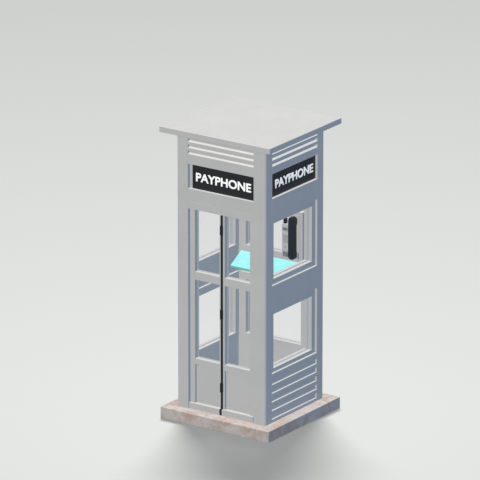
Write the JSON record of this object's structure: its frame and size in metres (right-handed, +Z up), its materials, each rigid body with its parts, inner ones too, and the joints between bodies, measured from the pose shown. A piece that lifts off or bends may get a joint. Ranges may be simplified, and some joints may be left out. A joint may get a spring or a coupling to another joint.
{
  "type": "telephone booth",
  "caption": "Framed telephone cabin on a stone slab, with a folding glazed door, a flat roof, a shelf and a wall telephone with a lift-off handset.",
  "frame": {"origin": "centre of the slab's underside", "axes": "+Z up, the door faces -Y, the visible glazed side faces +X"},
  "size_m": [1.116, 1.07, 2.578],
  "materials": {
    "grey_paint": "satin",
    "stone": "honed pinkish stone",
    "sign_black": "satin black",
    "clear_glass": "clear",
    "black_rubber": "matte",
    "black_steel": "satin black",
    "bright_steel": "brushed",
    "brushed_metal": "brushed",
    "shelf_glass": "glossy pale cyan",
    "black_plastic": "semi-gloss",
    "phone_casing": "satin",
    "display_glass": "glossy",
    "key_plastic": "matte",
    "lamp_diffuser": "opal"
  },
  "bodies": {
    "booth": {"base_slab": "stone", "ceiling_lamp": "lamp_diffuser", "coin_return_cup": "brushed_metal", "coin_slot": "black_plastic", "corner_post_back_left": "grey_paint", "corner_post_back_right": "grey_paint", "corner_post_front_left": "grey_paint", "corner_post_front_right": "grey_paint", "display": "display_glass", "door_pivot_pins": "bright_steel", "door_track": "brushed_metal", "front_header": "grey_paint", "handset_cradle": "phone_casing", "mid_rail_back": "grey_paint", "mid_rail_left": "grey_paint", "mid_rail_right": "grey_paint", "phone_housing": "phone_casing", "roof": "grey_paint", "shelf": "shelf_glass", "shelf_brackets": "grey_paint", "sign_panels": "sign_black", "upper_panel_back": "grey_paint", "upper_panel_left": "grey_paint", "upper_panel_right": "grey_paint", "vent_panel_back": "grey_paint", "vent_panel_left": "grey_paint", "vent_panel_right": "grey_paint", "window_frames_back": "grey_paint", "window_frames_left": "grey_paint", "window_frames_right": "grey_paint", "window_panes_back": "clear_glass", "window_panes_left": "clear_glass", "window_panes_right": "clear_glass"},
    "left_leaf": {"left_leaf_frame": "grey_paint", "left_leaf_hinges": "black_steel", "left_leaf_kick_panel": "grey_paint", "left_leaf_panes": "clear_glass", "left_leaf_seal": "black_rubber"},
    "right_leaf": {"right_leaf_frame": "grey_paint", "right_leaf_hinges": "black_steel", "right_leaf_kick_panel": "grey_paint", "right_leaf_panes": "clear_glass", "right_leaf_seal": "black_rubber", "guide_roller": "bright_steel"},
    "handset": {"handset": "black_plastic"},
    "hook": {"hook_lever": "bright_steel"},
    "coin_flap": {"return_flap": "brushed_metal"},
    "reject": {"reject_button": "bright_steel"},
    "key_0_cap": {"key_0": "key_plastic"},
    "key_1_cap": {"key_1": "key_plastic"},
    "key_2_cap": {"key_2": "key_plastic"},
    "key_3_cap": {"key_3": "key_plastic"},
    "key_4_cap": {"key_4": "key_plastic"},
    "key_5_cap": {"key_5": "key_plastic"},
    "key_6_cap": {"key_6": "key_plastic"},
    "key_7_cap": {"key_7": "key_plastic"},
    "key_8_cap": {"key_8": "key_plastic"},
    "key_9_cap": {"key_9": "key_plastic"},
    "key_hash_cap": {"key_hash": "key_plastic"},
    "key_star_cap": {"key_star": "key_plastic"}
  },
  "joints": [
    {"name": "door_fold", "type": "hinge", "parent": "booth", "child": "left_leaf", "pos_m": [-0.303, -0.383, 1], "axis": [0, 0, 1], "range_deg": [0, 80]},
    {"name": "leaf_hinge", "type": "hinge", "parent": "left_leaf", "child": "right_leaf", "pos_m": [-0.003, -0.438, 1], "axis": [0, 0, 1], "range_deg": [-160, 0]},
    {"name": "handset_lift", "type": "slide", "parent": "booth", "child": "handset", "axis": [0, -0.6, 0.8], "range_m": [0, 0.25]},
    {"name": "hook_rise", "type": "hinge", "parent": "booth", "child": "hook", "pos_m": [0.259, 0.2792, 1.6517], "axis": [-1, 0, 0], "range_deg": [0, 10]},
    {"name": "flap_swing", "type": "hinge", "parent": "booth", "child": "coin_flap", "pos_m": [0.164, 0.2936, 1.3862], "axis": [1, 0, 0], "range_deg": [0, 40]},
    {"name": "reject_press", "type": "slide", "parent": "booth", "child": "reject", "axis": [0, 1, 0], "range_m": [0, 0.003], "stiffness_N_per_m": 400, "springref_m": -0.002},
    {"name": "key_0_press", "type": "slide", "parent": "booth", "child": "key_0_cap", "axis": [0, 1, 0], "range_m": [0, 0.003], "stiffness_N_per_m": 400, "springref_m": -0.002},
    {"name": "key_1_press", "type": "slide", "parent": "booth", "child": "key_1_cap", "axis": [0, 1, 0], "range_m": [0, 0.003], "stiffness_N_per_m": 400, "springref_m": -0.002},
    {"name": "key_2_press", "type": "slide", "parent": "booth", "child": "key_2_cap", "axis": [0, 1, 0], "range_m": [0, 0.003], "stiffness_N_per_m": 400, "springref_m": -0.002},
    {"name": "key_3_press", "type": "slide", "parent": "booth", "child": "key_3_cap", "axis": [0, 1, 0], "range_m": [0, 0.003], "stiffness_N_per_m": 400, "springref_m": -0.002},
    {"name": "key_4_press", "type": "slide", "parent": "booth", "child": "key_4_cap", "axis": [0, 1, 0], "range_m": [0, 0.003], "stiffness_N_per_m": 400, "springref_m": -0.002},
    {"name": "key_5_press", "type": "slide", "parent": "booth", "child": "key_5_cap", "axis": [0, 1, 0], "range_m": [0, 0.003], "stiffness_N_per_m": 400, "springref_m": -0.002},
    {"name": "key_6_press", "type": "slide", "parent": "booth", "child": "key_6_cap", "axis": [0, 1, 0], "range_m": [0, 0.003], "stiffness_N_per_m": 400, "springref_m": -0.002},
    {"name": "key_7_press", "type": "slide", "parent": "booth", "child": "key_7_cap", "axis": [0, 1, 0], "range_m": [0, 0.003], "stiffness_N_per_m": 400, "springref_m": -0.002},
    {"name": "key_8_press", "type": "slide", "parent": "booth", "child": "key_8_cap", "axis": [0, 1, 0], "range_m": [0, 0.003], "stiffness_N_per_m": 400, "springref_m": -0.002},
    {"name": "key_9_press", "type": "slide", "parent": "booth", "child": "key_9_cap", "axis": [0, 1, 0], "range_m": [0, 0.003], "stiffness_N_per_m": 400, "springref_m": -0.002},
    {"name": "key_hash_press", "type": "slide", "parent": "booth", "child": "key_hash_cap", "axis": [0, 1, 0], "range_m": [0, 0.003], "stiffness_N_per_m": 400, "springref_m": -0.002},
    {"name": "key_star_press", "type": "slide", "parent": "booth", "child": "key_star_cap", "axis": [0, 1, 0], "range_m": [0, 0.003], "stiffness_N_per_m": 400, "springref_m": -0.002}
  ],
  "couplings": [
    {"joint": "leaf_hinge", "follows": "door_fold", "ratio": -2},
    {"joint": "hook_rise", "follows": "handset_lift", "rad_per_m": 0.697}
  ]
}
